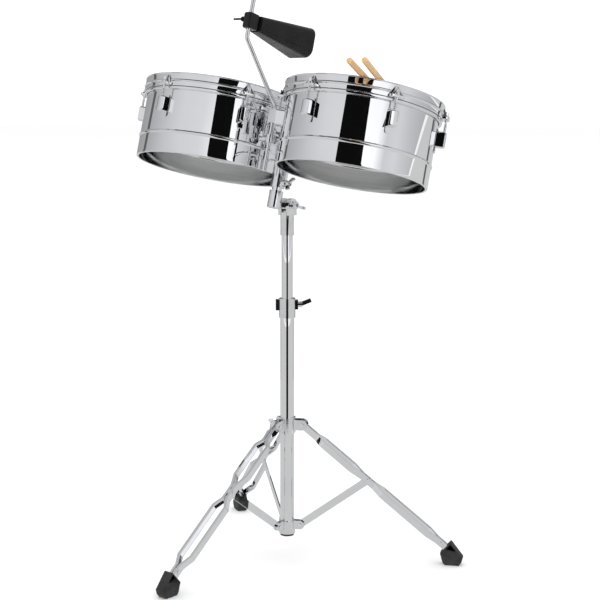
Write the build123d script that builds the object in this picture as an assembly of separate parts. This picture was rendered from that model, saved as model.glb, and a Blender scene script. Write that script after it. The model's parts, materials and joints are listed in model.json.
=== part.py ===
"""Timbales: two open-bottomed steel drums, a cowbell and two sticks on a folding tripod stand.

Millimetres, +Z up.  The origin is on the column's axis at floor level, +X points to the
thirteen inch drum, +Y to the player.  What the tilter carries is drawn upright in the deck
frame (u across, v to the player, w along the post, origin on the tilter's pin) and leaned over.
"""
import os
from math import asin, atan2, cos, degrees, hypot, radians, sin

from build123d import *

# Stand
LEG_ANGLES = {"front": -90.0, "right": 30.0, "left": 150.0}
BASE_R = 16.0
BASE_BORE_R = 14.4
BASE_Z = (50.0, 592.0)
UPPER_R = 12.7
UPPER_Z = (360.0, 788.0)
PIVOT_Z = 813.0
TUBE_WALL = 1.6

# Legs, in a plane through the column: r outwards, z up, s along the leg from its hinge
LEG_LEAN = 51.0
LEG_HINGE = (36.0, 309.0)
STRUT_HINGE = (31.0, 72.0)
STRUT_ALONG = 196.0
LOWER_RIVET = 415.0
RAIL_FLANGE = 6.5
RAIL_HEIGHT = 14.0
RAIL_WALL = 1.6
RAIL_GAP = 3.6
LEG_SPREAD = 42.0
RAIL_END = 452.0
STRUT_THICK = 3.0
STRUT_HEIGHT = 17.0
PIN_R = 3.0
PIN_HEAD = (4.5, 1.8)
RIVET_HEAD = (5.0, 1.5)
FOOT_THICK = 26.0
FOOT_TOP_X = 380.0
FOOT_SIDE = [(380, 54), (356, 27), (362, 6), (367, 0), (399, 0), (405, 8), (408, 18)]
FOOT_EASE = 2.5

# Collars and clamp of the column
PLUG_Z = 46.0
LOWER_COLLAR_Z = (51.0, 81.0)
LOWER_COLLAR_R = 18.5
STRUT_EAR_R = 10.0
STRUT_EAR_OUT = 6.5
UPPER_COLLAR_Z = (290.0, 326.0)
UPPER_COLLAR_R = 19.5
LEG_EAR_R = 12.0
LEG_EAR_WALL = 2.6
COLLAR_BOLT_ANGLE = 210.0
COLLAR_BOLT_Z = 300.0
COLLAR_BOSS_R = 7.5
COLLAR_BOSS_END = 27.0
BOLT_R = 3.0
CLAMP_Z = (557.0, 592.0)
CLAMP_R = 19.0
CLAMP_ANGLE = 41.5
CLAMP_BOLT_Z = 586.5
CLAMP_BOLT_START = 25.3
CAP_BORE_R = 14.2
CAP_TOP = 601.0
BUSHING_FOOT = 550.0

# Deck: tilter, post, drums
DECK_TILT = 15.2
TILTER_Z = (745.0, 788.0)
TILTER_R = 15.5
TILTER_CAP = 8.5
TILTER_PIN_R = 4.0
FORK_U = ((-16.5, -7.0), (7.0, 18.0))
FORK_R = 15.0
FORK_HALF = 12.0
TONGUE_HALF = 6.7
TONGUE_R = 14.0
SOCKET_W = (-16.0, 22.0)
POST_V = -43.0
POST_R = 11.1
POST_W = (-13.0, 182.0)
ROD_V = -95.0
ROD_R = 4.75
RUNNING = 0.05
GAP = 0.3

# Mount between the drums
MOUNT_W = (30.0, 150.0)
MOUNT_R = 16.5
MOUNT_BOLT_W = 40.0
MOUNT_BOLT_R = 3.5
SADDLE_U = (18.0, 33.0)
SADDLE_W = (92.0, 134.0)
SADDLE_V = 17.0
PLATE_W = (121.5, 166.0)
PLATE_WALL = 3.2
TONGUE_U = (22.5, 27.5)
TONGUE_V = 11.0
ROD_EYE_W = (119.0, 137.0)
ROD_EYE_R = 9.0
ROD_BOLT_W = 128.0
HOLDER_W = (163.0, 193.0)

# Drums: side of the post, shell radius, centre and bottom edge in the deck frame
DRUMS = {
    "right": (1, 165.1, 202.8, 60.0),
    "left": (-1, 177.8, -215.5, 65.0),
}
DRUM_V = -41.0
SHELL_DEPTH = 165.1
SHELL_WALL = 1.5
BEAD_UP = 48.0
BEAD_OUT = 2.4
FLANGE = 5.5
HOOP_OUT = 9.5
HOOP_TOP = 180.3
HOOP_FOOT = 150.0
HOOP_BEAD = 162.3
EAR_THICK = 5.0
EAR_WIDTH = 34.0
WASHER = 2.2
ROD_OUT = 16.0
HEAD_TOP = 167.6
LUG_ANGLES = [-90.0 + 60.0 * k for k in range(6)]
LUG_UP = 107.0
LUG_SIZE = (21.0, 19.0, 34.0)
LUG_PLATE = (3.4, 17.0, 52.0)
ROD_HEAD = 6.6

# Cowbell and its bent rod
UPPER_ROD_V = -222.0
ROD_BENDS_W = (200.0, 318.0)
ROD_BEND_R = 14.0
ROD_W = (56.0, 440.0)
BELL_V = (-201.0, -50.0)
BELL_BACK = (36.0, 34.5, 355.0)
BELL_MOUTH = (80.0, 68.0, 359.0)
BELL_WALL = 1.6
BELL_ROUND = 0.28
CLAMP_W = 356.0

# Sticks
STICK_R = 6.35
STICK_LENGTH = 400.0
STICK_EASE = 3.5

# Where each stick crosses the hoop, its heading, both in degrees, and how far it hangs out
STICKS = {"left_stick": (-56.0, -70.0, 82.0), "right_stick": (-45.0, -68.0, 102.0)}

PARTS = "parts"
DECK = Plane(origin=(0, 0, PIVOT_Z), x_dir=(1, 0, 0),
             z_dir=(0, sin(radians(DECK_TILT)), cos(radians(DECK_TILT))))


def cylinder(point, axis, radius, length):
    """A cylinder that starts at a point and runs along an axis."""
    plane = Plane(origin=point, z_dir=axis)
    return extrude(plane * Circle(radius), length)


def tube(point, axis, outer, inner, length):
    """A cylinder with a bore right through it."""
    plane = Plane(origin=point, z_dir=axis)
    return extrude(plane * (Circle(outer) - Circle(inner)), length)


def block(u, v, w):
    """A box from its limits along each axis."""
    centre = ((u[0] + u[1]) / 2, (v[0] + v[1]) / 2, (w[0] + w[1]) / 2)
    return Pos(*centre) * Box(u[1] - u[0], v[1] - v[0], w[1] - w[0])


def ring(profile):
    """A profile of (radius, height) corners turned about Z."""
    face = make_face(Polyline(*[(r, 0, z) for r, z in profile], close=True))
    return revolve(face, Axis.Z)


def wing_bolt(point, axis, shank_r, shank, span, turn=0.0, thick=4.0, hub_r=5.5):
    """A bolt whose shank ends at a point, with two rounded wings; the axis points to its head."""
    hub = Cylinder(hub_r, 11, align=(Align.CENTER, Align.CENTER, Align.MIN))
    stem = Pos(0, 0, -shank) * Cylinder(shank_r, shank + 1, align=(Align.CENTER, Align.CENTER, Align.MIN))
    body = hub + stem
    for side in (-1, 1):
        wing = Pos(side * span * 0.30, 0, 9) * Rot(0, side * -24, 0) * Box(span * 0.5, thick, 9)
        lobe = Pos(side * span * 0.44, 0, 13.5) * Rot(90, 0, 0) * Cylinder(span * 0.13, thick)
        body += [wing, lobe]
    plane = Plane(origin=point, z_dir=axis)
    return plane.location * Rot(0, 0, turn) * body


def around(angle, shape):
    """Turns a shape drawn in the XZ plane about the column."""
    return Rot(0, 0, angle) * shape


def save(name, shape, in_deck=False):
    """Writes one node, leaning it over first if the tilter carries it."""
    if isinstance(shape, (list, ShapeList)):
        shape = Compound(children=list(shape))
    if in_deck:
        shape = DECK.location * shape
    export_step(shape, os.path.join(PARTS, name + ".step"))


# ---------------------------------------------------------------- stand

def leg_frame():
    """The leg's own frame: X along the leg, Y across it, Z square to both."""
    lean = radians(LEG_LEAN)
    return Plane(origin=(LEG_HINGE[0], 0, LEG_HINGE[1]), x_dir=(sin(lean), 0, -cos(lean)),
                 z_dir=(cos(lean), 0, sin(lean)))


def rail(side):
    """One formed channel of a leg, open towards its twin, pinched at the top, middle and foot."""
    near = RAIL_GAP / 2 + RAIL_FLANGE
    far = LEG_SPREAD / 2
    bends = [(46, near), (62, far), (150, far), (180, near), (216, near), (238, far), (376, far),
             (402, near)]
    points = [(-9, near)] + bends + [(RAIL_END, near)]
    path = FilletPolyline(*[(s, side * t, 0) for s, t in points], radius=10)
    start = Plane(origin=(-9, side * near, 0), x_dir=(0, -side, 0), z_dir=(1, 0, 0))
    outline = Rectangle(RAIL_FLANGE, RAIL_HEIGHT, align=(Align.MIN, Align.CENTER))
    hollow = Rectangle(RAIL_FLANGE, RAIL_HEIGHT - 2 * RAIL_WALL, align=(Align.MIN, Align.CENTER))
    section = start * (outline - Pos(RAIL_WALL, 0) * hollow)
    shape = sweep(section, path=path.wire())
    for along in (0.0, STRUT_ALONG, LOWER_RIVET):
        shape -= cylinder((along, side * (near + 2), 0), (0, -side, 0), PIN_R + RUNNING, 8)
    return shape


def leg_pieces():
    """The rails, rivets and rubber boot of one leg, drawn in the plane y = 0."""
    frame = leg_frame().location
    near = RAIL_GAP / 2 + RAIL_FLANGE
    rivets = []
    for along in (STRUT_ALONG, LOWER_RIVET):
        for side in (-1, 1):
            stub = cylinder((along, side * (near + RIVET_HEAD[1]), 0), (0, -side, 0), PIN_R, 3.6)
            head = cylinder((along, side * near, 0), (0, side, 0), *RIVET_HEAD)
            rivets.append(frame * (stub + head))
    pocket_size = (RAIL_END - FOOT_TOP_X, 2 * near + 0.2, RAIL_HEIGHT + 0.2)
    pocket = frame * Pos((RAIL_END + FOOT_TOP_X) / 2, 0, 0) * Box(*pocket_size)
    side_view = Polyline(*FOOT_SIDE, close=True)
    profile = fillet(make_face(side_view).vertices(), FOOT_EASE)
    boot = extrude(Plane.XZ * profile, FOOT_THICK / 2, both=True)
    side_edges = boot.edges().filter_by(Axis.Y, reverse=True).filter_by(GeomType.LINE)
    boot = fillet(side_edges.sort_by(Axis.Z)[4:], 3)
    return {
        "outer_rail": frame * rail(-1),
        "inner_rail": frame * rail(1),
        "rivets": rivets,
        "foot": boot - pocket,
    }


def strut():
    """The flat bar from the lower collar to the middle of a leg."""
    lean = radians(LEG_LEAN)
    top = (LEG_HINGE[0] + STRUT_ALONG * sin(lean), LEG_HINGE[1] - STRUT_ALONG * cos(lean))
    run = (top[0] - STRUT_HINGE[0], top[1] - STRUT_HINGE[1])
    length = hypot(*run)
    bar = Pos(length / 2, 0, 0) * Box(length, STRUT_THICK, STRUT_HEIGHT)
    for x in (0, length):
        bar += Pos(x, 0, 0) * Rot(90, 0, 0) * Cylinder(STRUT_HEIGHT / 2, STRUT_THICK)
        bar -= Pos(x, 0, 0) * Rot(90, 0, 0) * Cylinder(PIN_R + RUNNING, 2 * STRUT_THICK)
    return Pos(STRUT_HINGE[0], 0, STRUT_HINGE[1]) * Rot(0, -degrees(atan2(run[1], run[0])), 0) * bar


def collar(z, bore, outer, hinge, ear_r, ear_inner, ear_outer):
    """A sleeve with a pair of ears for each leg."""
    sleeve = tube((0, 0, z[0]), (0, 0, 1), outer, bore, z[1] - z[0])
    for angle in LEG_ANGLES.values():
        for side in (-1, 1):
            t = sorted((side * ear_inner, side * ear_outer))
            root = block((bore + 1, hinge[0]), t, (hinge[1] - ear_r, hinge[1] + ear_r))
            tip = Pos(hinge[0], (t[0] + t[1]) / 2, hinge[1]) * Rot(90, 0, 0) * Cylinder(ear_r, t[1] - t[0])
            bore_cut = cylinder((hinge[0], t[0] - 1, hinge[1]), (0, 1, 0), PIN_R, t[1] - t[0] + 2)
            sleeve += around(angle, root + tip - bore_cut)
    return sleeve - cylinder((0, 0, z[0] - 5), (0, 0, 1), bore, z[1] - z[0] + 10)


def hinge_pins(hinge, reach):
    """The three pins of a collar, each with a head outside both ears."""
    pins = []
    for angle in LEG_ANGLES.values():
        pin = cylinder((hinge[0], -reach, hinge[1]), (0, 1, 0), PIN_R, 2 * reach)
        for side in (-1, 1):
            pin += cylinder((hinge[0], side * reach, hinge[1]), (0, side, 0), *PIN_HEAD)
        pins.append(around(angle, pin))
    return pins


def collar_boss(shape, angle, z):
    """Adds a boss with a bolt hole to a sleeve."""
    depth = COLLAR_BOSS_END - BASE_R - 1
    boss = around(angle, cylinder((BASE_R + 1, 0, z), (1, 0, 0), COLLAR_BOSS_R, depth))
    bore = around(angle, cylinder((0, 0, z), (1, 0, 0), BOLT_R + RUNNING, COLLAR_BOSS_END + 5))
    hollow = cylinder((0, 0, z - 40), (0, 0, 1), BASE_R + GAP, 80)
    return shape + (boss - hollow) - bore


def column():
    """The two tubes of the column with the plug and the clamp that joins them."""
    length = BASE_Z[1] - BASE_Z[0]
    save("base_tube", tube((0, 0, BASE_Z[0]), (0, 0, 1), BASE_R, BASE_BORE_R, length))
    plug = cylinder((0, 0, PLUG_Z), (0, 0, 1), BASE_R, BASE_Z[0] - PLUG_Z)
    plug += cylinder((0, 0, BASE_Z[0]), (0, 0, 1), BASE_BORE_R, 14)
    save("base_tube_plug", plug)
    save("upper_tube", tube((0, 0, UPPER_Z[0]), (0, 0, 1), UPPER_R, UPPER_R - TUBE_WALL,
                            UPPER_Z[1] - UPPER_Z[0]))

    in_tube = CLAMP_Z[1] - BUSHING_FOOT
    clamp = tube((0, 0, CLAMP_Z[0]), (0, 0, 1), CLAMP_R, BASE_R, CLAMP_Z[1] - CLAMP_Z[0])
    clamp += tube((0, 0, CLAMP_Z[1]), (0, 0, 1), CLAMP_R, CAP_BORE_R, CAP_TOP - CLAMP_Z[1])
    jaws = block((-26, -14), (-9, 9), (574, 598)) + block((14, 25), (-8, 8), (576, 597))
    clamp += around(CLAMP_ANGLE, jaws)
    clamp -= cylinder((0, 0, BUSHING_FOOT), (0, 0, 1), BASE_R, in_tube)
    clamp -= cylinder((0, 0, BUSHING_FOOT), (0, 0, 1), CAP_BORE_R, 60)
    clamp -= around(CLAMP_ANGLE, cylinder((14, 0, CLAMP_BOLT_Z), (1, 0, 0), BOLT_R + RUNNING, 20))
    save("height_clamp", clamp)
    bushing = tube((0, 0, BUSHING_FOOT), (0, 0, 1), BASE_BORE_R, UPPER_R + RUNNING, in_tube)
    bushing += tube((0, 0, CLAMP_Z[1]), (0, 0, 1), CAP_BORE_R, UPPER_R + RUNNING, CAP_TOP - CLAMP_Z[1])
    save("height_clamp_bushing", bushing)

    lever = cylinder((CLAMP_BOLT_START, 0, 0), (1, 0, 0), 6.5, 9)
    lever += cylinder((CLAMP_BOLT_START, 0, 0), (-1, 0, 0), BOLT_R, 6.5)
    lever += Pos(43, 0, 5.5) * Rot(0, -22, 0) * Box(24, 5, 9)
    save("height_clamp_lever", Pos(0, 0, CLAMP_BOLT_Z) * around(CLAMP_ANGLE, lever))


def tripod():
    """The two collars, their pins and bolt, and the three legs."""
    near = RAIL_GAP / 2 + RAIL_FLANGE
    lower = collar(LOWER_COLLAR_Z, BASE_R, LOWER_COLLAR_R, STRUT_HINGE, STRUT_EAR_R, STRUT_THICK / 2 + GAP,
                   STRUT_EAR_OUT)
    save("lower_leg_collar", lower)
    save("strut_hinge_pins", hinge_pins(STRUT_HINGE, STRUT_EAR_OUT))

    ear_out = near + GAP + LEG_EAR_WALL
    upper = collar(UPPER_COLLAR_Z, BASE_R + GAP, UPPER_COLLAR_R, LEG_HINGE, LEG_EAR_R, near + GAP, ear_out)
    upper = collar_boss(upper, COLLAR_BOLT_ANGLE, COLLAR_BOLT_Z)
    save("upper_leg_collar", upper)
    save("leg_hinge_pins", hinge_pins(LEG_HINGE, ear_out))
    bolt = wing_bolt((COLLAR_BOSS_END + GAP, 0, COLLAR_BOLT_Z), (1, 0, 0), BOLT_R, 10.5, 34, 20)
    save("collar_wing_bolt", around(COLLAR_BOLT_ANGLE, bolt))

    for name, angle in LEG_ANGLES.items():
        for piece, shape in leg_pieces().items():
            turned = [around(angle, s) for s in shape] if isinstance(shape, list) else around(angle, shape)
            save(name + "_leg_" + piece, turned)
        save(name + "_leg_strut", around(angle, strut()))


# ---------------------------------------------------------------- tilter and mount

def tilter():
    """The fork on the upper tube and the arm that leans with the drums."""
    base = tube((0, 0, TILTER_Z[0]), (0, 0, 1), TILTER_R, UPPER_R + RUNNING, TILTER_Z[1] - TILTER_Z[0])
    base += cylinder((0, 0, TILTER_Z[1] + GAP), (0, 0, 1), TILTER_R, TILTER_CAP)
    base += tube((0, 0, TILTER_Z[0]), (0, 0, 1), TILTER_R, UPPER_R + GAP, TILTER_Z[1] - TILTER_Z[0] + 3)
    for low, high in FORK_U:
        base += block((low, high), (-FORK_HALF, FORK_HALF), (TILTER_Z[1] + 2, PIVOT_Z))
        base += cylinder((low, 0, PIVOT_Z), (1, 0, 0), FORK_R, high - low)
    base -= cylinder((-30, 0, PIVOT_Z), (1, 0, 0), TILTER_PIN_R + RUNNING, 60)
    save("tilter_base", base)
    bolt = cylinder((-20.5, 0, PIVOT_Z), (1, 0, 0), TILTER_PIN_R, 41)
    bolt += cylinder((-20.5, 0, PIVOT_Z), (1, 0, 0), 7, 3.6)
    save("tilter_bolt", bolt)
    nut = wing_bolt((18.4, 0, PIVOT_Z), (1, 0, 0), TILTER_PIN_R, 0.1, 44, 70, 5, 8)
    save("tilter_wing_nut", nut - cylinder((10, 0, PIVOT_Z), (1, 0, 0), TILTER_PIN_R + RUNNING, 20.6))

    arm = cylinder((-TONGUE_HALF, 0, 0), (1, 0, 0), TONGUE_R, 2 * TONGUE_HALF)
    arm += block((-TONGUE_HALF, TONGUE_HALF), (POST_V + 8, 0), (-9, 11))
    arm += cylinder((0, POST_V, SOCKET_W[0]), (0, 0, 1), TILTER_R, SOCKET_W[1] - SOCKET_W[0])
    arm -= cylinder((-20, 0, 0), (1, 0, 0), TILTER_PIN_R + RUNNING, 40)
    arm -= cylinder((0, POST_V, POST_W[0]), (0, 0, 1), POST_R, 60)
    save("tilter_arm", arm, True)
    post = tube((0, POST_V, POST_W[0]), (0, 0, 1), POST_R, POST_R - TUBE_WALL, POST_W[1] - POST_W[0])
    save("post", post, True)


def mount_casting():
    """The sleeve on the post, its two saddles for the drums and the eye for the accessory rod."""
    body = cylinder((0, POST_V, MOUNT_W[0]), (0, 0, 1), MOUNT_R, MOUNT_W[1] - MOUNT_W[0])
    for side in (-1, 1):
        limits = sorted((side * 9, side * SADDLE_U[1]))
        body += block(limits, (POST_V - SADDLE_V, POST_V + SADDLE_V), SADDLE_W)
    body += block((-ROD_EYE_R, ROD_EYE_R), (ROD_V, POST_V), ROD_EYE_W)
    body += cylinder((0, ROD_V, ROD_EYE_W[0]), (0, 0, 1), ROD_EYE_R, ROD_EYE_W[1] - ROD_EYE_W[0])
    body += cylinder((0, ROD_V, ROD_BOLT_W), (-1, 0, 0), 8, 17)
    body += cylinder((0, POST_V, MOUNT_BOLT_W), (1, 0, 0), 8, 25)
    body += block((-8, 8), (POST_V - 28, POST_V - 10), (137, MOUNT_W[1]))
    for side in (-1, 1):
        slot = sorted((side * (TONGUE_U[0] - GAP), side * (TONGUE_U[1] + GAP)))
        body -= block(slot, (POST_V - TONGUE_V - GAP, POST_V + TONGUE_V + GAP), (60, 145))
    body -= cylinder((0, POST_V, MOUNT_W[0] - 5), (0, 0, 1), POST_R + RUNNING, 140)
    body -= cylinder((0, ROD_V, 110), (0, 0, 1), ROD_R + RUNNING, 40)
    body -= cylinder((-7, ROD_V, ROD_BOLT_W), (-1, 0, 0), BOLT_R + RUNNING, 14)
    body -= cylinder((13, POST_V, MOUNT_BOLT_W), (1, 0, 0), MOUNT_BOLT_R + RUNNING, 14)
    return body


def drum_bracket(side, radius, centre):
    """The curved plate riveted to a shell and the hooked tongue that drops into a saddle."""
    wall = abs(centre) - radius
    strip = block(sorted((side * 20, side * (wall + 12))), (DRUM_V - 30, DRUM_V + 30), PLATE_W)
    plate = cylinder((centre, DRUM_V, PLATE_W[0]), (0, 0, 1), radius + PLATE_WALL, 60) & strip
    web = block(sorted((side * TONGUE_U[0], side * (wall - 1))), (POST_V - TONGUE_V, POST_V + TONGUE_V),
                (SADDLE_W[1] + GAP, SADDLE_W[1] + GAP + 6))
    tongue = block(sorted((side * TONGUE_U[0], side * TONGUE_U[1])), (POST_V - TONGUE_V, POST_V + TONGUE_V),
                   (SADDLE_W[0] + 4, SADDLE_W[1] + 1))
    return (plate + web + tongue) - cylinder((centre, DRUM_V, 60), (0, 0, 1), radius + 0.05, 140)


def mount():
    """The casting on the post with its bolts and the block that grips the accessory rod."""
    save("mount_casting", mount_casting(), True)
    post_bolt = wing_bolt((25.3, POST_V, MOUNT_BOLT_W), (1, 0, 0), MOUNT_BOLT_R, 11.5, 30, -28)
    save("mount_wing_bolt", post_bolt, True)
    rod_bolt = wing_bolt((-17.3, ROD_V, ROD_BOLT_W), (-1, 0, 0), BOLT_R, 10, 30, 0)
    save("rod_eye_wing_bolt", rod_bolt, True)
    holder = block((-10, 14), (ROD_V - 10, POST_V - 17.2), HOLDER_W)
    holder = fillet(holder.edges().filter_by(Axis.Z), 3)
    holder += block((-7, 7), (POST_V - 28, POST_V - 17.2), (MOUNT_W[1], HOLDER_W[0]))
    holder -= cylinder((0, ROD_V, 150), (0, 0, 1), ROD_R + RUNNING, 60)
    save("rod_holder", holder, True)


# ---------------------------------------------------------------- drums

def shell(radius):
    """A spun shell: plain cylinder, one outward bead, rolled edges top and bottom."""
    bead = radius + BEAD_OUT
    outer = [(radius, 3), (radius, BEAD_UP - 4.5), (bead, BEAD_UP - 1.8), (bead, BEAD_UP + 1.8),
             (radius, BEAD_UP + 4.5), (radius, SHELL_DEPTH)]
    inner = [(r - SHELL_WALL, z) for r, z in reversed(outer)]
    flange = [(radius - FLANGE, 1.6), (radius - FLANGE, 0), (radius - 1.5, 0), (radius, 1.5)]
    inner[-1] = (radius - SHELL_WALL, 1.6)
    return ring(outer + inner + flange)


def ears(radius, lower, upper):
    """The raised ears of a hoop, one above each lug, with the holes for the rods."""
    pieces = []
    for angle in LUG_ANGLES:
        plate = Pos(radius + HOOP_OUT + 5.5, 0, (lower + upper) / 2) * Box(15, EAR_WIDTH, upper - lower)
        plate = fillet(plate.edges().filter_by(Axis.Z).sort_by(Axis.X)[-2:], 9)
        pieces.append(Rot(0, 0, angle) * plate)
    return pieces


def rod_places(radius):
    """Where the tension rods stand."""
    return [(angle, radius + ROD_OUT) for angle in LUG_ANGLES]


def hoop(radius):
    """The counter hoop: a formed band with a bead, an inward lip at its foot and six ears."""
    inner = radius + 5.2
    outer = radius + HOOP_OUT - 1.2
    bead = [(outer, HOOP_BEAD - 2.5), (outer + 2, HOOP_BEAD - 1), (outer + 2, HOOP_BEAD + 1),
            (outer, HOOP_BEAD + 2.5)]
    rim = [(outer, HOOP_TOP - 1), (outer + 1.2, HOOP_TOP), (inner, HOOP_TOP), (inner, HEAD_TOP + GAP)]
    profile = [(inner + 1.2, HOOP_FOOT), (outer, HOOP_FOOT)] + bead + rim + [(inner + 1.2, HEAD_TOP - 2)]
    body = ring(profile)
    for ear in ears(radius, HOOP_FOOT, HOOP_FOOT + EAR_THICK):
        body += ear - Cylinder(inner + 1.2, 900)
    for angle, place in rod_places(radius):
        body -= Rot(0, 0, angle) * Pos(place, 0, HOOP_FOOT) * Cylinder(3.4, 40)
    return body


def head(radius):
    """The drum skin: a flat film that bends down a little over the shell's edge."""
    outer = radius + 4.6
    return ring([(0, HEAD_TOP - 0.6), (radius, HEAD_TOP - 0.6), (outer, HEAD_TOP - 2.4),
                 (outer, HEAD_TOP - 1.8), (radius, HEAD_TOP), (0, HEAD_TOP)])


def flesh_hoop(radius):
    """The band at the foot of the skin's collar, which the counter hoop pulls down."""
    inner = radius + 1.2
    foot = HOOP_FOOT - 7.5
    top = HOOP_FOOT - GAP
    return ring([(inner, foot), (inner + 6.3, foot), (inner + 6.3, top), (inner + 1.4, top),
                 (inner + 1.4, HEAD_TOP - 1.8), (inner, HEAD_TOP - 1.2)])


def lug(radius):
    """One lug: a base plate on the shell under a block bored for its rod."""
    base = Pos(radius + 1.6, 0, LUG_UP - 4) * Box(*LUG_PLATE)
    body = Pos(radius + 11.5, 0, LUG_UP) * Box(*LUG_SIZE)
    body = chamfer(body.edges().filter_by(Axis.Y), 3)
    body = fillet(body.edges().filter_by(Axis.Z), 2.5)
    body += base
    body -= Pos(radius + ROD_OUT, 0, LUG_UP) * Cylinder(3.05, 60)
    body -= cylinder((0, 0, 0), (0, 0, 1), radius + 0.1, 300)
    return body


def tension_rod(radius):
    """One square-headed rod, from inside the lug to the top of its ear."""
    top = HOOP_FOOT + EAR_THICK + WASHER
    foot = LUG_UP - 14
    rod = cylinder((0, 0, foot), (0, 0, 1), BOLT_R, top - foot)
    rod += cylinder((0, 0, top), (0, 0, 1), 6.0, 2.6)
    rod += Pos(0, 0, top + 6.6) * Box(ROD_HEAD, ROD_HEAD, 8)
    return Pos(radius + ROD_OUT, 0, 0) * rod


def drum(name, side, radius, centre, bottom):
    """All pieces of one drum, in the deck frame."""
    place = Pos(centre, DRUM_V, bottom)
    save(name + "_shell", place * shell(radius), True)
    save(name + "_head", place * head(radius), True)
    save(name + "_flesh_hoop", place * flesh_hoop(radius), True)
    save(name + "_hoop", place * hoop(radius), True)
    turns = [Rot(0, 0, angle) for angle in LUG_ANGLES]
    save(name + "_lugs", [place * turn * lug(radius) for turn in turns], True)
    save(name + "_tension_rods", [place * turn * tension_rod(radius) for turn in turns], True)
    washer = tube((radius + ROD_OUT, 0, HOOP_FOOT + EAR_THICK), (0, 0, 1), 6.5, 3.1, WASHER)
    save(name + "_rod_washers", [place * turn * washer for turn in turns], True)
    save(name + "_bracket", drum_bracket(side, radius, centre), True)


# ---------------------------------------------------------------- cowbell and sticks

def z_rod():
    """The bent accessory rod: two straights parallel to the post, joined by a slanting one."""
    path = FilletPolyline((0, ROD_V, ROD_W[0]), (0, ROD_V, ROD_BENDS_W[0]), (0, UPPER_ROD_V, ROD_BENDS_W[1]),
                          (0, UPPER_ROD_V, ROD_W[1]), radius=ROD_BEND_R)
    return sweep(Plane(origin=(0, ROD_V, ROD_W[0]), z_dir=(0, 0, 1)) * Circle(ROD_R), path=path.wire())


def bell_section(size, v):
    """The bell's rounded section at one end."""
    width, height, w = size
    corner = BELL_ROUND * min(width, height)
    plane = Plane(origin=(0, v, w), x_dir=(1, 0, 0), z_dir=(0, 1, 0))
    return plane * RectangleRounded(width, height, corner)


def bell():
    """The tapered bell, open at the wide end."""
    outer = loft([bell_section(BELL_BACK, BELL_V[0]), bell_section(BELL_MOUTH, BELL_V[1])])
    thin_back = (BELL_BACK[0] - 2 * BELL_WALL, BELL_BACK[1] - 2 * BELL_WALL, BELL_BACK[2])
    thin_mouth = (BELL_MOUTH[0] - 2 * BELL_WALL, BELL_MOUTH[1] - 2 * BELL_WALL, BELL_MOUTH[2])
    inner = loft([bell_section(thin_back, BELL_V[0] + 2), bell_section(thin_mouth, BELL_V[1] + 0.5)])
    return outer - inner


def cowbell():
    """The rod, the bell, its clamp and the clamp's wing bolt."""
    save("cowbell_rod", z_rod(), True)
    save("cowbell", bell(), True)
    clamp = block((-12, 12), (UPPER_ROD_V - 13, BELL_V[0] - 0.1), (CLAMP_W - 17, CLAMP_W + 17))
    clamp = fillet(clamp.edges().filter_by(Axis.Z), 9)
    clamp = fillet(clamp.edges().group_by(Axis.Z)[-1] + clamp.edges().group_by(Axis.Z)[0], 4)
    clamp -= cylinder((0, UPPER_ROD_V, CLAMP_W - 40), (0, 0, 1), ROD_R + RUNNING, 80)
    clamp -= cylinder((-6, UPPER_ROD_V, CLAMP_W + 5), (-1, 0, 0), BOLT_R + RUNNING, 12)
    save("cowbell_clamp", clamp, True)
    bolt = wing_bolt((-12.3, UPPER_ROD_V, CLAMP_W + 5), (-1, 0, 0), BOLT_R, 6, 40, 72)
    save("cowbell_wing_bolt", bolt, True)


def stick(crossing, heading, overhang):
    """A plain stick that leans from the skin over the hoop and out past it."""
    radius, centre, bottom = DRUMS["right"][1:]
    reach = radius + HOOP_OUT - 2
    inside = STICK_LENGTH - overhang
    drop = HOOP_TOP - HEAD_TOP
    pitch = asin(drop / inside)
    rim = Vector(centre + reach * cos(radians(crossing)), DRUM_V + reach * sin(radians(crossing)),
                 bottom + HOOP_TOP + STICK_R + 0.5)
    along = Vector(cos(radians(heading)) * cos(pitch), sin(radians(heading)) * cos(pitch), sin(pitch))
    start = rim - along * inside
    body = cylinder(start, along, STICK_R, STICK_LENGTH)
    return fillet(body.edges().filter_by(GeomType.CIRCLE), STICK_EASE)


def main():
    """Builds every node."""
    os.makedirs(PARTS, exist_ok=True)
    column()
    tripod()
    tilter()
    mount()
    for name, (side, radius, centre, bottom) in DRUMS.items():
        drum(name + "_drum", side, radius, centre, bottom)
    cowbell()
    for name, (crossing, heading, overhang) in STICKS.items():
        save(name, stick(crossing, heading, overhang), True)


main()
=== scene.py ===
import json
from math import cos, radians, sin, tau

import bmesh
import bpy
import numpy as np
from mathutils import Matrix, Vector

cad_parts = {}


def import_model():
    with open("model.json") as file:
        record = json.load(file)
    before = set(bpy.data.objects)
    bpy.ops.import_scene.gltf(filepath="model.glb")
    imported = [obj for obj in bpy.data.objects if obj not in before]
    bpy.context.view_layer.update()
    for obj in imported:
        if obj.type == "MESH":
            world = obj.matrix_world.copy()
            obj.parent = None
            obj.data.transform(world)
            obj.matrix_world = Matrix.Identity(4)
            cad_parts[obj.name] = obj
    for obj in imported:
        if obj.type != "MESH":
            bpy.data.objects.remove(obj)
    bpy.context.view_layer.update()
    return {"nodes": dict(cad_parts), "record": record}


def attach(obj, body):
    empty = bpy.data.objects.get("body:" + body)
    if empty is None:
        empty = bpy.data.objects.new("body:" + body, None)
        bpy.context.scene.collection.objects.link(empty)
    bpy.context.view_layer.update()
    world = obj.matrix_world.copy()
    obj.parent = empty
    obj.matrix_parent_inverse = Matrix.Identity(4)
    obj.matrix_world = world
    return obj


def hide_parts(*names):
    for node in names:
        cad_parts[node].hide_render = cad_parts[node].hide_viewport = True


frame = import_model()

MM = 0.001

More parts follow.
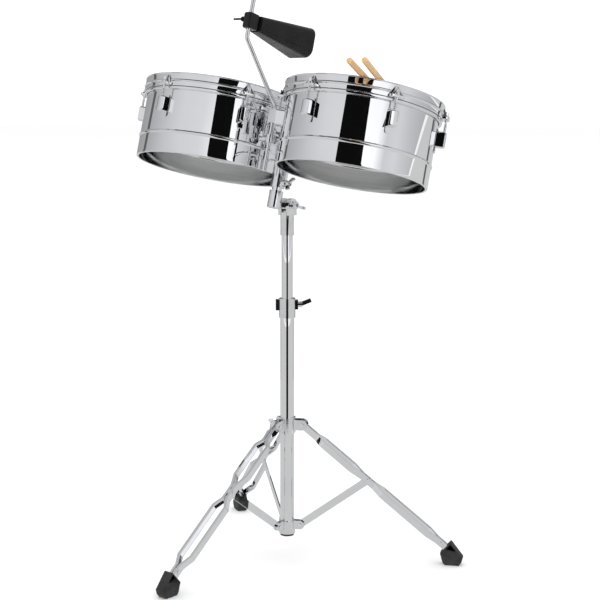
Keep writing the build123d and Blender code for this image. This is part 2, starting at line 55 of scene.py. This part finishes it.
# Frames: what the tilter carries is drawn upright and leaned back, as in the record's deck_tilt joint
DECK_TILT = radians(15.2)
PIVOT_Z = 0.813
DECK = Matrix.Translation((0, 0, PIVOT_Z)) @ Matrix.Rotation(-DECK_TILT, 4, "X")

# Camera
CAM_AZIMUTH = radians(41.53)
CAM_PITCH = radians(7.87)
CAM_DISTANCE = 3.15093
CAM_HEIGHT = 1.03213
LENS = 83.94
SHIFT_X = 0.0214

# Drum sections, in millimetres from the shell's bottom edge
BEAD_OUT = 2.4
BEAD_UP = 48.0
BEAD_HALF = 4.0
SHELL_WALL = 1.5
FLANGE = 5.5
HEAD_TOP = 167.6
HOOP_OUT = 9.5
HOOP_FOOT = 150.0
HOOP_BEAD = 162.3
HOOP_TOP = 180.3
EAR_THICK = 5.0
EAR_HALF = 17.0
EAR_CORNER = 9.0
FOLD_WALL = 2.6
ROD_OUT = 16.0
WASHER = 2.2
WASHER_R = (3.1, 6.5)
LUG_ANGLES = [-90 + 60 * k for k in range(6)]

# A lug: half width, reach and crown of its face, half width and ends of its base plate, in millimetres
LUG_HALF = 9.5
LUG_OUT = 22.0
LUG_CROWN = 2.2
PLATE_HALF = 8.2
PLATE_ENDS = (77, 129)

# How far a lug's outline is drawn in at each height
LUG_LEVELS = [(90, 3.0), (90.9, 1.2), (92.6, 0.2), (94, 0), (120, 0), (121.4, 0.2), (123.1, 1.2), (124, 3.0)]

# Tension rod radii: shank, thread, flange and half of the square head
ROD_SHANK = 3.0
ROD_THREAD = 2.6
ROD_FLANGE = 6.0
ROD_SQUARE = 3.3

# Drawn tubes and sticks, in millimetres
TUBE_WALL = 1.6
TUBE_EDGE = 0.8
STICK_R = 6.35
STICK_EASE = 4.5


# ---------------------------------------------------------------- materials

class Paint:
    """A material under construction: its nodes, its links and its shader."""

    def __init__(self, name, colour, metallic, roughness):
        self.material = bpy.data.materials.new(name)
        self.material.use_nodes = True
        self.nodes = self.material.node_tree.nodes
        self.links = self.material.node_tree.links
        self.shader = self.nodes["Principled BSDF"]
        self.shader.inputs["Base Color"].default_value = (*colour, 1)
        self.shader.inputs["Metallic"].default_value = metallic
        self.shader.inputs["Roughness"].default_value = roughness
        self.coords = self.nodes.new("ShaderNodeTexCoord")

    def noise(self, scale, stretch=(1, 1, 1), detail=3.0, distortion=0.0):
        """A noise in the piece's own metres."""
        place = self.nodes.new("ShaderNodeMapping")
        place.inputs["Scale"].default_value = stretch
        self.links.new(self.coords.outputs["Object"], place.inputs["Vector"])
        noise = self.nodes.new("ShaderNodeTexNoise")
        noise.inputs["Scale"].default_value = scale
        noise.inputs["Detail"].default_value = detail
        noise.inputs["Distortion"].default_value = distortion
        self.links.new(place.outputs["Vector"], noise.inputs["Vector"])
        return noise.outputs["Fac"]

    def ramp(self, value, stops):
        """A colour ramp over a value."""
        ramp = self.nodes.new("ShaderNodeValToRGB")
        elements = ramp.color_ramp.elements
        while len(elements) < len(stops):
            elements.new(0.5)
        for element, (position, colour) in zip(elements, stops):
            element.position = position
            element.color = (*colour, 1)
        self.links.new(value, ramp.inputs["Fac"])
        return ramp.outputs["Color"]

    def colour(self, value, stops):
        """Colours the base by a value."""
        self.links.new(self.ramp(value, stops), self.shader.inputs["Base Color"])

    def roughness(self, value, low, high):
        """Spreads a value's middle over a range of roughness."""
        span = self.nodes.new("ShaderNodeMapRange")
        span.inputs["From Min"].default_value = 0.3
        span.inputs["From Max"].default_value = 0.7
        span.inputs["To Min"].default_value = low
        span.inputs["To Max"].default_value = high
        self.links.new(value, span.inputs["Value"])
        self.links.new(span.outputs["Result"], self.shader.inputs["Roughness"])

    def bump(self, value, strength, distance):
        """Adds a bump; further bumps pile on top."""
        bump = self.nodes.new("ShaderNodeBump")
        bump.inputs["Strength"].default_value = strength
        bump.inputs["Distance"].default_value = distance
        self.links.new(value, bump.inputs["Height"])
        normal = self.shader.inputs["Normal"]
        if normal.is_linked:
            self.links.new(normal.links[0].from_socket, bump.inputs["Normal"])
        self.links.new(bump.outputs["Normal"], normal)


def chrome():
    """Bright plated steel with a faint polish haze."""
    paint = Paint("chrome", (0.9, 0.91, 0.92), 1.0, 0.03)
    paint.colour(paint.noise(9, detail=2), [(0.3, (0.86, 0.87, 0.885)), (0.7, (0.92, 0.925, 0.93))])
    paint.roughness(paint.noise(40, detail=5, distortion=0.6), 0.008, 0.03)
    paint.bump(paint.noise(14, detail=1), 0.04, 0.0006)
    return paint.material


def cast():
    """Plated die-cast metal: softer edges and a slightly pebbled skin under the plating."""
    paint = Paint("cast_chrome", (0.86, 0.87, 0.88), 1.0, 0.08)
    paint.colour(paint.noise(30, detail=3), [(0.3, (0.80, 0.81, 0.83)), (0.7, (0.90, 0.905, 0.91))])
    paint.roughness(paint.noise(160, detail=4), 0.05, 0.13)
    paint.bump(paint.noise(260, detail=2), 0.10, 0.0003)
    return paint.material


def satin():
    """The unpolished inside of a shell, brushed round and round."""
    paint = Paint("satin_steel", (0.7, 0.71, 0.72), 1.0, 0.16)
    rings = paint.noise(1, (2, 2, 260), detail=4)
    paint.colour(rings, [(0.3, (0.84, 0.85, 0.86)), (0.7, (0.93, 0.935, 0.94))])
    paint.roughness(paint.noise(1, (3, 3, 500), detail=3), 0.04, 0.10)
    paint.bump(paint.noise(1, (2, 2, 500), detail=3), 0.10, 0.0001)
    return paint.material


def steel():
    """Bare zinc-plated steel."""
    paint = Paint("plain_steel", (0.62, 0.63, 0.64), 1.0, 0.25)
    paint.colour(paint.noise(60), [(0.3, (0.52, 0.53, 0.55)), (0.7, (0.68, 0.69, 0.70))])
    paint.roughness(paint.noise(220, detail=4), 0.18, 0.34)
    paint.bump(paint.noise(400), 0.10, 0.0002)
    return paint.material


def enamel():
    """Smooth black enamel with a soft gloss."""
    paint = Paint("black_enamel", (0.008, 0.008, 0.009), 0.0, 0.26)
    paint.colour(paint.noise(25), [(0.3, (0.006, 0.006, 0.007)), (0.7, (0.011, 0.011, 0.012))])
    paint.roughness(paint.noise(30, detail=2), 0.22, 0.29)
    paint.bump(paint.noise(500, detail=1), 0.03, 0.0001)
    paint.shader.inputs["Specular IOR Level"].default_value = 0.25
    return paint.material


def rubber():
    """Matt black rubber, mottled a little lighter at random."""
    paint = Paint("rubber", (0.02, 0.02, 0.021), 0.0, 0.7)
    paint.colour(paint.noise(35, detail=5), [(0.3, (0.011, 0.011, 0.012)), (0.75, (0.032, 0.032, 0.034))])
    paint.roughness(paint.noise(120, detail=4), 0.48, 0.75)
    paint.bump(paint.noise(700, detail=3), 0.2, 0.0002)
    return paint.material


def nylon():
    """Dark moulded nylon."""
    paint = Paint("nylon", (0.03, 0.03, 0.03), 0.0, 0.5)
    paint.colour(paint.noise(90), [(0.3, (0.022, 0.022, 0.023)), (0.7, (0.042, 0.042, 0.044))])
    paint.roughness(paint.noise(300), 0.4, 0.6)
    paint.bump(paint.noise(600), 0.1, 0.0002)
    return paint.material


def film():
    """The coated white drum skin."""
    paint = Paint("skin", (0.86, 0.86, 0.84), 0.0, 0.5)
    paint.colour(paint.noise(7, detail=6), [(0.3, (0.80, 0.80, 0.775)), (0.7, (0.88, 0.88, 0.865))])
    paint.roughness(paint.noise(500, detail=2), 0.42, 0.6)
    paint.bump(paint.noise(1400, detail=2), 0.25, 0.0002)
    paint.shader.inputs["Transmission Weight"].default_value = 0.45
    paint.shader.inputs["IOR"].default_value = 1.06
    return paint.material


def wood():
    """Pale hickory: grain along the stick."""
    paint = Paint("hickory", (0.72, 0.5, 0.28), 0.0, 0.35)
    grain = paint.noise(1, (260, 260, 7), detail=5, distortion=0.5)
    paint.colour(grain, [(0.25, (0.50, 0.29, 0.12)), (0.45, (0.67, 0.43, 0.20)), (0.75, (0.80, 0.58, 0.32))])
    paint.roughness(paint.noise(1, (400, 400, 20)), 0.28, 0.45)
    paint.bump(grain, 0.12, 0.0003)
    paint.shader.inputs["Coat Weight"].default_value = 0.35
    paint.shader.inputs["Coat Roughness"].default_value = 0.18
    return paint.material


CHROME, CAST, SATIN, STEEL = chrome(), cast(), satin(), steel()
ENAMEL, RUBBER, NYLON, FILM, WOOD = enamel(), rubber(), nylon(), film(), wood()
SLOT_PAINT = {"chrome": CHROME, "plain_steel": STEEL, "black_paint": ENAMEL, "skin": FILM, "rubber": RUBBER,
              "nylon": NYLON, "wood": WOOD}
NODE_SLOT = {part["node"]: part["material_slot"] for part in frame["record"]["subparts"]}
NODE_BODY = {node: body for body, names in frame["record"]["behaviour"]["bodies"].items() for node in names}


# ---------------------------------------------------------------- mesh tools

def finish_piece(name, bm, node, place=Matrix(), paints=None, bevel=0.0, segments=2):
    """Turns a bmesh into a piece that stands for a CAD node and rides on its body."""
    bmesh.ops.remove_doubles(bm, verts=bm.verts, dist=1e-6)
    bmesh.ops.recalc_face_normals(bm, faces=bm.faces)
    mesh = bpy.data.meshes.new(name)
    bm.to_mesh(mesh)
    bm.free()
    slot = NODE_SLOT[node]
    for paint in paints or [SLOT_PAINT[slot]]:
        mesh.materials.append(paint)
    mesh.shade_smooth()
    mesh.set_sharp_from_angle(angle=radians(35))
    piece = bpy.data.objects.new(name, mesh)
    bpy.context.collection.objects.link(piece)
    piece.matrix_world = place
    if bevel:
        soften = piece.modifiers.new("edges", "BEVEL")
        soften.width = bevel
        soften.segments = segments
        soften.limit_method = "ANGLE"
        soften.angle_limit = radians(32)
        soften.harden_normals = True
    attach(piece, NODE_BODY[node])
    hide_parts(node)


def lathe(bm, profile, place=Matrix(), segments=64, paint=None):
    """Turns a closed profile of (radius, height) points, in metres, about the local Z axis."""
    rings = []
    for k in range(segments):
        turn = place @ Matrix.Rotation(tau * k / segments, 4, "Z")
        rings.append([bm.verts.new(turn @ Vector((r, 0, z))) for r, z in profile])
    count = len(profile)
    for k in range(segments):
        a, b = rings[k], rings[(k + 1) % segments]
        for i in range(count):
            j = (i + 1) % count
            if profile[i][0] + profile[j][0] > 1e-9:
                face = bm.faces.new((a[i], b[i], b[j], a[j]))
                face.material_index = paint(i) if paint else 0


def mm(points):
    """Millimetres to metres."""
    return [tuple(c * MM for c in point) for point in points]


def rounded(points, radius, steps=4):
    """Rounds the corners of a closed outline; radius is one number or one for each corner."""
    radii = [radius] * len(points) if isinstance(radius, (int, float)) else radius
    result = []
    for i, (corner, r) in enumerate(zip(points, radii)):
        here = Vector(corner)
        before = Vector(points[i - 1]) - here
        after = Vector(points[(i + 1) % len(points)]) - here
        if not r:
            result.append(tuple(here))
            continue
        start = here + before.normalized() * min(r, before.length * 0.45)
        end = here + after.normalized() * min(r, after.length * 0.45)
        for k in range(steps + 1):
            t = k / steps
            result.append(tuple(start * (1 - t) ** 2 + here * 2 * t * (1 - t) + end * t ** 2))
    return result


def prism(bm, outline, low, high, place=Matrix()):
    """Extrudes a closed outline in the local XY plane between two heights."""
    floor = [bm.verts.new(place @ Vector((x, y, low))) for x, y in outline]
    roof = [bm.verts.new(place @ Vector((x, y, high))) for x, y in outline]
    bm.faces.new(floor[::-1])
    bm.faces.new(roof)
    for i in range(len(outline)):
        j = (i + 1) % len(outline)
        bm.faces.new((floor[i], floor[j], roof[j], roof[i]))


def skin(bm, rings):
    """Joins rings of equal length into a capped tube."""
    rows = [[bm.verts.new(p) for p in ring] for ring in rings]
    for a, b in zip(rows, rows[1:]):
        for i in range(len(a)):
            j = (i + 1) % len(a)
            bm.faces.new((a[i], a[j], b[j], b[i]))
    bm.faces.new(rows[0][::-1])
    bm.faces.new(rows[-1])


def corners(node):
    """The CAD node's vertices, in world metres."""
    return np.array([v.co for v in frame["nodes"][node].data.vertices], float)


def box_in(node, place):
    """Lowest and highest corner of a CAD node, seen in another frame."""
    local = corners(node) @ np.array(place.inverted().to_3x3()).T + np.array(place.inverted().translation)
    return Vector(local.min(0)), Vector(local.max(0))


def long_axis(node):
    """(frame, length) of a long thin CAD node; the frame starts at its low end and its Z runs along it."""
    points = corners(node)
    centre = points.mean(0)
    direction = np.linalg.svd(points - centre, full_matrices=False)[2][0]
    direction = direction if direction[2] > 0 else -direction
    along = (points - centre) @ direction
    start = Vector(centre + direction * along.min())
    turn = Vector(direction).to_track_quat("Z", "Y").to_matrix().to_4x4()
    return Matrix.Translation(start) @ turn, float(along.max() - along.min())


def polish(node, bevel, paint=None, segments=2):
    """A finished copy of a CAD node: welded, with flats cleaned up and every hard edge rounded."""
    bm = bmesh.new()
    bm.from_mesh(frame["nodes"][node].data)
    bmesh.ops.remove_doubles(bm, verts=bm.verts, dist=2e-6)
    bmesh.ops.dissolve_limit(bm, angle_limit=radians(1.2), verts=bm.verts, edges=bm.edges)
    for face in bm.faces:
        face.material_index = 0
    paints = [paint] if paint else None
    finish_piece(node + "_fine", bm, node, paints=paints, bevel=bevel * MM, segments=segments)


# ---------------------------------------------------------------- drums

def drum_place(side):
    """(frame of the shell's bottom centre, shell radius in millimetres)."""
    low, high = box_in(side + "_drum_shell", DECK)
    radius = (high.x - low.x) / 2 / MM - BEAD_OUT
    centre = ((low.x + high.x) / 2, (low.y + high.y) / 2, low.z)
    return DECK @ Matrix.Translation(centre), radius


def shell(side, place, radius):
    """The spun shell: rolled lower lip, one round bead, polished outside and satin inside."""
    bead = [(radius + BEAD_OUT * cos(radians(a)) ** 2, BEAD_UP + BEAD_HALF * sin(radians(a)))
            for a in range(-90, 91, 15)]
    lip = [(radius - 1.4 + 1.4 * cos(radians(a)), 1.5 + 1.5 * sin(radians(a))) for a in range(0, -91, -15)]
    outside = [(radius, 165.0)] + bead[::-1] + [(radius, 6.0)] + lip
    edge = radius - FLANGE
    inside = [(edge + 0.8, 0), (edge, 0.4), (edge, 1.3), (edge + 0.8, 1.7), (radius - SHELL_WALL - 1, 1.9),
              (radius - SHELL_WALL, 3.2)]
    inside += [(r - SHELL_WALL, z) for r, z in bead] + [(radius - SHELL_WALL, 165.0)]
    profile = mm(outside + inside)
    bright = len(outside) + 3
    bm = bmesh.new()
    lathe(bm, profile, segments=240, paint=lambda i: 0 if i < bright or i == len(profile) - 1 else 1)
    finish_piece(side + "_shell", bm, side + "_drum_shell", place, [CHROME, SATIN])


def skin_head(side, place, radius):
    """The skin: flat, rounded over the bearing edge and down into its collar."""
    top = HEAD_TOP
    profile = [(0, top - 0.5), (radius - 3, top - 0.5), (radius + 1.5, top - 0.9), (radius + 4.4, top - 2.4),
               (radius + 4.6, top - 1.8), (radius + 1.8, top - 0.4), (radius - 3, top - 0.05), (0, top)]
    bm = bmesh.new()
    lathe(bm, mm(profile), segments=180)
    finish_piece(side + "_skin", bm, side + "_drum_head", place)


def flesh_band(side, place, radius):
    """The rolled band at the foot of the skin's collar."""
    inner, foot = radius + 1.2, HOOP_FOOT - 7.5
    step = HOOP_FOOT - 0.4
    outline = [(inner, foot), (inner + 6.3, foot), (inner + 6.3, step), (inner + 1.4, step),
               (inner + 1.4, HEAD_TOP - 2.3), (inner, HEAD_TOP - 1.6)]
    bm = bmesh.new()
    lathe(bm, rounded(mm(outline), [0.0008, 0.003, 0.0022, 0.0005, 0, 0]), segments=200)
    finish_piece(side + "_flesh_band", bm, side + "_drum_flesh_hoop", place, [CHROME])


def counter_hoop(side, place, radius):
    """The counter hoop: rolled top edge, one bead, flared foot and a folded ear over each lug."""
    inner, outer = radius + 5.2, radius + HOOP_OUT - 1.2
    outline = [(inner + 1.2, HOOP_FOOT), (outer + 0.2, HOOP_FOOT), (outer, HOOP_FOOT + 3),
               (outer - 0.3, HOOP_BEAD - 2.6), (outer + 2, HOOP_BEAD - 0.9), (outer + 2, HOOP_BEAD + 0.9),
               (outer - 0.3, HOOP_BEAD + 2.6), (outer, HOOP_TOP - 2.5), (outer + 1.2, HOOP_TOP - 1.4),
               (outer + 0.8, HOOP_TOP), (inner + 0.4, HOOP_TOP), (inner, HOOP_TOP - 1.5),
               (inner, HEAD_TOP + 0.4), (inner + 1.2, HEAD_TOP - 2)]
    radii = [0.0005, 0.0008, 0, 0.0008, 0.0012, 0.0012, 0.0008, 0, 0.0007, 0.0009, 0.0009, 0, 0, 0]
    bm = bmesh.new()
    lathe(bm, rounded(mm(outline), radii), segments=240)
    for angle in LUG_ANGLES:
        ear(bm, Matrix.Rotation(radians(angle), 4, "Z"), outer)
    finish_piece(side + "_counter_hoop", bm, side + "_drum_hoop", place, [CHROME], bevel=0.0006)


def ear(bm, turn, outer):
    """One folded ear: a shelf with rounded corners under two sloping folds that meet on the band."""
    reach = outer + 14.0
    shelf = [(outer - 0.5, -EAR_HALF), (reach, -EAR_HALF), (reach, EAR_HALF), (outer - 0.5, EAR_HALF)]
    shelf = rounded(mm(shelf), [0, EAR_CORNER * MM, EAR_CORNER * MM, 0], 5)
    prism(bm, shelf, HOOP_FOOT * MM, (HOOP_FOOT + EAR_THICK) * MM, turn)
    low = HOOP_FOOT + 4.5
    fold = [(outer - 0.6, EAR_HALF - 0.1, low), (reach - 4, EAR_HALF - 2.6, low),
            (outer + 5.5, 8.0, HOOP_FOOT + 13), (outer + 1.4, 4.0, HOOP_TOP - 6.5),
            (outer - 0.6, 3.6, HOOP_TOP - 6)]
    for flank in (-1, 1):
        rows = [[turn @ Vector((x * MM, flank * (t - thick) * MM, z * MM)) for x, t, z in fold]
                for thick in (0.0, FOLD_WALL)]
        skin(bm, rows)


def lug_section(inset):
    """A lug's outline seen from above, drawn in by an inset: (metres across, millimetres out)."""
    half = LUG_HALF - inset
    crown = [(half * t / 4, LUG_OUT - inset - LUG_CROWN * (t / 4) ** 2) for t in range(-4, 5)]
    return [(x * MM, out) for x, out in [(-half, 0.4)] + crown + [(half, 0.4)]]


def lugs(side, place, radius):
    """Six bridge lugs: a block with a crowned face standing on a slim base plate with a rounded tail."""
    bm = bmesh.new()
    for angle in LUG_ANGLES:
        turn = Matrix.Rotation(radians(angle), 4, "Z")
        upright = turn @ Matrix(((0, 0, 1, 0), (1, 0, 0, 0), (0, 1, 0, 0), (0, 0, 0, 1)))
        plate = [(-PLATE_HALF, PLATE_ENDS[0]), (PLATE_HALF, PLATE_ENDS[0]), (PLATE_HALF, PLATE_ENDS[1]),
                 (-PLATE_HALF, PLATE_ENDS[1])]
        plate = rounded(mm(plate), [0.007, 0.007, 0.0035, 0.0035], 5)
        prism(bm, plate, (radius - 0.05) * MM, (radius + 3.1) * MM, upright)
        skin(bm, [[upright @ Vector((t, z * MM, (radius + out) * MM)) for t, out in lug_section(inset)]
                  for z, inset in LUG_LEVELS])
    finish_piece(side + "_bridge_lugs", bm, side + "_drum_lugs", place, [CHROME], bevel=0.0006)


def tension_rods(side, place, radius):
    """Square-headed rods with a domed flange, threaded where they enter the lug."""
    bm = bmesh.new()
    top = HOOP_FOOT + EAR_THICK + WASHER
    thread = [(ROD_THREAD + 0.35 * (k % 2), 126 + 0.5 * k) for k in range(30)]
    flange = [(ROD_FLANGE, top), (ROD_FLANGE - 0.1, top + 1.4), (4.2, top + 2.6), (0, top + 2.6)]
    stem = [(0, 93), (ROD_THREAD, 93)] + thread + [(ROD_SHANK, 142), (ROD_SHANK, top)] + flange
    for angle in LUG_ANGLES:
        spot = Matrix.Rotation(radians(angle), 4, "Z") @ Matrix.Translation(((radius + ROD_OUT) * MM, 0, 0))
        lathe(bm, mm(stem), spot, 20)
        half = ROD_SQUARE
        square = rounded(mm([(-half, -half), (half, -half), (half, half), (-half, half)]), 0.0006, 2)
        prism(bm, square, (top + 2.4) * MM, (top + 10.6) * MM, spot @ Matrix.Rotation(radians(20), 4, "Z"))
    finish_piece(side + "_key_rods", bm, side + "_drum_tension_rods", place, [CHROME], bevel=0.0005)


def washers(side, place, radius):
    """Round washers between rods and ears."""
    bm = bmesh.new()
    low = HOOP_FOOT + EAR_THICK
    inner, outer = WASHER_R
    section = [(inner, low), (outer, low), (outer, low + WASHER), (inner, low + WASHER)]
    section = rounded(mm(section), 0.0005, 2)
    for angle in LUG_ANGLES:
        spot = Matrix.Rotation(radians(angle), 4, "Z") @ Matrix.Translation(((radius + ROD_OUT) * MM, 0, 0))
        lathe(bm, section, spot, 24)
    finish_piece(side + "_washers", bm, side + "_drum_rod_washers", place)


def drum(side):
    """All of one drum."""
    place, radius = drum_place(side)
    for build in (shell, skin_head, flesh_band, counter_hoop, lugs, tension_rods, washers):
        build(side, place, radius)
    polish(side + "_drum_bracket", 0.8)


# ---------------------------------------------------------------- stand

def tube(node, place=Matrix()):
    """A drawn tube with eased ends, from a CAD node that stands along the local Z axis."""
    low, high = box_in(node, place)
    outer = (high.x - low.x) / 2
    centre = Matrix.Translation(((low.x + high.x) / 2, (low.y + high.y) / 2, 0))
    inner = outer - TUBE_WALL * MM
    outline = [(inner, low.z), (outer, low.z), (outer, high.z), (inner, high.z)]
    bm = bmesh.new()
    lathe(bm, rounded(outline, TUBE_EDGE * MM, 3), segments=96)
    finish_piece(node + "_fine", bm, node, place @ centre)


def stand():
    """Column, collars, legs and clamp."""
    tube("base_tube")
    tube("upper_tube")
    for node in ("base_tube_plug", "strut_hinge_pins", "leg_hinge_pins", "height_clamp_bushing"):
        polish(node, 0.4)
    for node in ("lower_leg_collar", "upper_leg_collar"):
        polish(node, 0.8, CAST)
    for node in ("height_clamp", "height_clamp_lever"):
        polish(node, 2.2, CAST, segments=4)
    polish("collar_wing_bolt", 0.8, CAST)
    for leg in ("front", "right", "left"):
        for piece in ("outer_rail", "inner_rail"):
            polish(leg + "_leg_" + piece, 1.0)
        polish(leg + "_leg_strut", 0.6)
        polish(leg + "_leg_rivets", 0.7)
        polish(leg + "_leg_foot", 1.2, segments=3)


def carried():
    """Tilter, post, mount, rod, bell and sticks."""
    for node in ("tilter_base", "tilter_arm", "mount_casting", "rod_holder", "cowbell_clamp"):
        polish(node, 1.0, None if node == "cowbell_clamp" else CAST)
    for node in ("tilter_bolt", "cowbell_rod"):
        polish(node, 0.5)
    for node in ("tilter_wing_nut", "mount_wing_bolt", "rod_eye_wing_bolt", "cowbell_wing_bolt"):
        polish(node, 0.9)
    tube("post", DECK)
    polish("cowbell", 0.8)
    for node in ("left_stick", "right_stick"):
        stick(node)


def stick(node):
    """A plain turned stick with rounded ends."""
    place, length = long_axis(node)
    radius = STICK_R * MM
    arc = [radians(a) for a in range(0, 91, 15)]
    ease = STICK_EASE * MM
    low = [(radius - ease + ease * sin(a), ease - ease * cos(a)) for a in arc]
    body = [(radius - 0.05 * MM, length * 0.3), (radius, length * 0.6)]
    high = [(r, length - z) for r, z in reversed(low)]
    bm = bmesh.new()
    lathe(bm, [(0, 0)] + low + body + high + [(0, length)], segments=40)
    finish_piece(node + "_fine", bm, node, place)


# ---------------------------------------------------------------- studio

def world():
    """White to the camera; for reflections, a tent that is darker to the left, behind and overhead."""
    scene_world = bpy.data.worlds.new("tent")
    bpy.context.scene.world = scene_world
    scene_world.use_nodes = True
    nodes, links = scene_world.node_tree.nodes, scene_world.node_tree.links
    coords = nodes.new("ShaderNodeTexCoord")
    tent = nodes["Background"]
    factors = []
    right = (cos(CAM_AZIMUTH), sin(CAM_AZIMUTH), 0)
    front = (sin(CAM_AZIMUTH), -cos(CAM_AZIMUTH), 0)
    stops = ([(0.0, 0.70), (0.34, 0.74), (0.5, 0.88), (0.60, 1.12), (0.74, 1.08), (0.84, 0.66),
              (0.93, 0.72), (1.0, 0.66)],
             [(0.0, 0.45), (0.3, 0.66), (0.55, 0.84), (0.75, 0.97), (1.0, 1.0)],
             [(0.0, 1.0), (0.87, 1.0), (0.90, 0.12), (1.0, 0.10)])
    for direction, steps in ((right, stops[0]), (front, stops[1]), ((0, 0, 1), stops[2])):
        dot = nodes.new("ShaderNodeVectorMath")
        dot.operation = "DOT_PRODUCT"
        dot.inputs[1].default_value = direction
        links.new(coords.outputs["Generated"], dot.inputs[0])
        half = nodes.new("ShaderNodeMapRange")
        half.inputs["From Min"].default_value = -1
        links.new(dot.outputs["Value"], half.inputs["Value"])
        ramp = nodes.new("ShaderNodeValToRGB")
        elements = ramp.color_ramp.elements
        while len(elements) < len(steps):
            elements.new(0.5)
        for element, (position, grey) in zip(elements, steps):
            element.position = position
            element.color = (grey, grey, grey * 1.01, 1)
        links.new(half.outputs["Result"], ramp.inputs["Fac"])
        factors.append(ramp.outputs["Color"])
    total = factors[0]
    for factor in factors[1:]:
        product = nodes.new("ShaderNodeVectorMath")
        product.operation = "MULTIPLY"
        links.new(total, product.inputs[0])
        links.new(factor, product.inputs[1])
        total = product.outputs["Vector"]
    links.new(total, tent.inputs["Color"])
    tent.inputs["Strength"].default_value = 1.0
    plain = nodes.new("ShaderNodeBackground")
    plain.inputs["Color"].default_value = (1, 1, 1, 1)
    plain.inputs["Strength"].default_value = 1.2
    ray = nodes.new("ShaderNodeLightPath")
    either = nodes.new("ShaderNodeMath")
    either.operation = "MAXIMUM"
    links.new(ray.outputs["Is Camera Ray"], either.inputs[0])
    links.new(ray.outputs["Is Diffuse Ray"], either.inputs[1])
    mix = nodes.new("ShaderNodeMixShader")
    links.new(either.outputs["Value"], mix.inputs["Fac"])
    links.new(tent.outputs["Background"], mix.inputs[1])
    links.new(plain.outputs["Background"], mix.inputs[2])
    links.new(mix.outputs["Shader"], nodes["World Output"].inputs["Surface"])


def painted_reflection_sheet(name, centre, facing, width, height, grey):
    """A glowing grey sheet that only reflections see: a painted reflection that lights nothing."""
    bm = bmesh.new()
    bmesh.ops.create_grid(bm, x_segments=1, y_segments=1, size=0.5)
    mesh = bpy.data.meshes.new(name)
    bm.to_mesh(mesh)
    bm.free()
    material = bpy.data.materials.new(name)
    material.use_nodes = True
    nodes = material.node_tree.nodes
    glow = nodes.new("ShaderNodeEmission")
    glow.inputs["Color"].default_value = (grey, grey, grey, 1)
    material.node_tree.links.new(glow.outputs["Emission"], nodes["Material Output"].inputs["Surface"])
    mesh.materials.append(material)
    sheet = bpy.data.objects.new(name, mesh)
    bpy.context.collection.objects.link(sheet)
    turn = Vector(facing).to_track_quat("Z", "Y").to_matrix().to_4x4()
    sheet.matrix_world = Matrix.Translation(centre) @ turn @ Matrix.Diagonal((width, height, 1, 1))
    sheet.visible_camera = False
    sheet.visible_diffuse = False
    sheet.visible_shadow = False


def studio():
    """Floor, glowing sheets that paint dark and grey reflections, lamp and camera."""
    world()
    right = Vector((cos(CAM_AZIMUTH), sin(CAM_AZIMUTH), 0))
    front = Vector((sin(CAM_AZIMUTH), -cos(CAM_AZIMUTH), 0))
    low, high = 0.09, 2.3
    # A near-black glowing sheet in front of the drums, seen only in reflections: it paints the dark stripe
    # reflected in the chrome.
    dark_reflection_centre = front * 0.97 + right * 0.02 + Vector((0, 0, (low + high) / 2))
    painted_reflection_sheet("painted_dark_reflection", dark_reflection_centre, -front, 0.54, high - low, 0.004)
    # Dim grey glowing sheets to the sides and behind, seen only in reflections: painted darker reflections.
    for k, (turn, out, wide) in enumerate(((122, 1.9, 0.22), (238, 1.9, 0.22), (180, 2.2, 0.5))):
        angle = CAM_AZIMUTH + radians(turn)
        away = Vector((sin(angle), -cos(angle), 0))
        painted_reflection_sheet(f"painted_side_reflection_{k}", away * out + Vector((0, 0, 1.2)), -away, wide, 2.2, 0.12)
    # A grey glowing sheet just above the floor, seen only in reflections: a painted floor reflection, darker
    # than the white floor the camera sees.
    painted_reflection_sheet("painted_floor_reflection", (0, 0, 0.0005), (0, 0, 1), 60, 60, 0.62)

    bm = bmesh.new()
    bmesh.ops.create_grid(bm, x_segments=1, y_segments=1, size=60)
    mesh = bpy.data.meshes.new("floor")
    bm.to_mesh(mesh)
    bm.free()
    paint = Paint("floor", (0.93, 0.93, 0.93), 0.0, 0.8)
    paint.colour(paint.noise(3), [(0.3, (0.925, 0.925, 0.925)), (0.7, (0.935, 0.935, 0.935))])
    mesh.materials.append(paint.material)
    floor = bpy.data.objects.new("floor", mesh)
    bpy.context.collection.objects.link(floor)

    lamp = bpy.data.lights.new("softbox", "AREA")
    lamp.shape = "RECTANGLE"
    lamp.size, lamp.size_y = 3.0, 3.0
    lamp.energy = 25
    holder = bpy.data.objects.new("softbox", lamp)
    holder.location = (0, 0, 3.4)
    holder.visible_glossy = False
    bpy.context.collection.objects.link(holder)

    camera = bpy.data.cameras.new("camera")
    camera.lens = LENS
    camera.sensor_width = 36
    camera.shift_x = SHIFT_X
    eye = bpy.data.objects.new("camera", camera)
    eye.location = front * CAM_DISTANCE + Vector((0, 0, CAM_HEIGHT))
    gaze = -front * cos(CAM_PITCH) - Vector((0, 0, sin(CAM_PITCH)))
    eye.rotation_euler = gaze.to_track_quat("-Z", "Y").to_euler()
    bpy.context.collection.objects.link(eye)
    bpy.context.scene.camera = eye
    bpy.context.scene.view_settings.view_transform = "Standard"


# ---------------------------------------------------------------- build

for node_name, node_object in frame["nodes"].items():
    node_object.data.materials.clear()
    node_object.data.materials.append(SLOT_PAINT[NODE_SLOT[node_name]])
for side_name in ("right", "left"):
    drum(side_name)
stand()
carried()
studio()
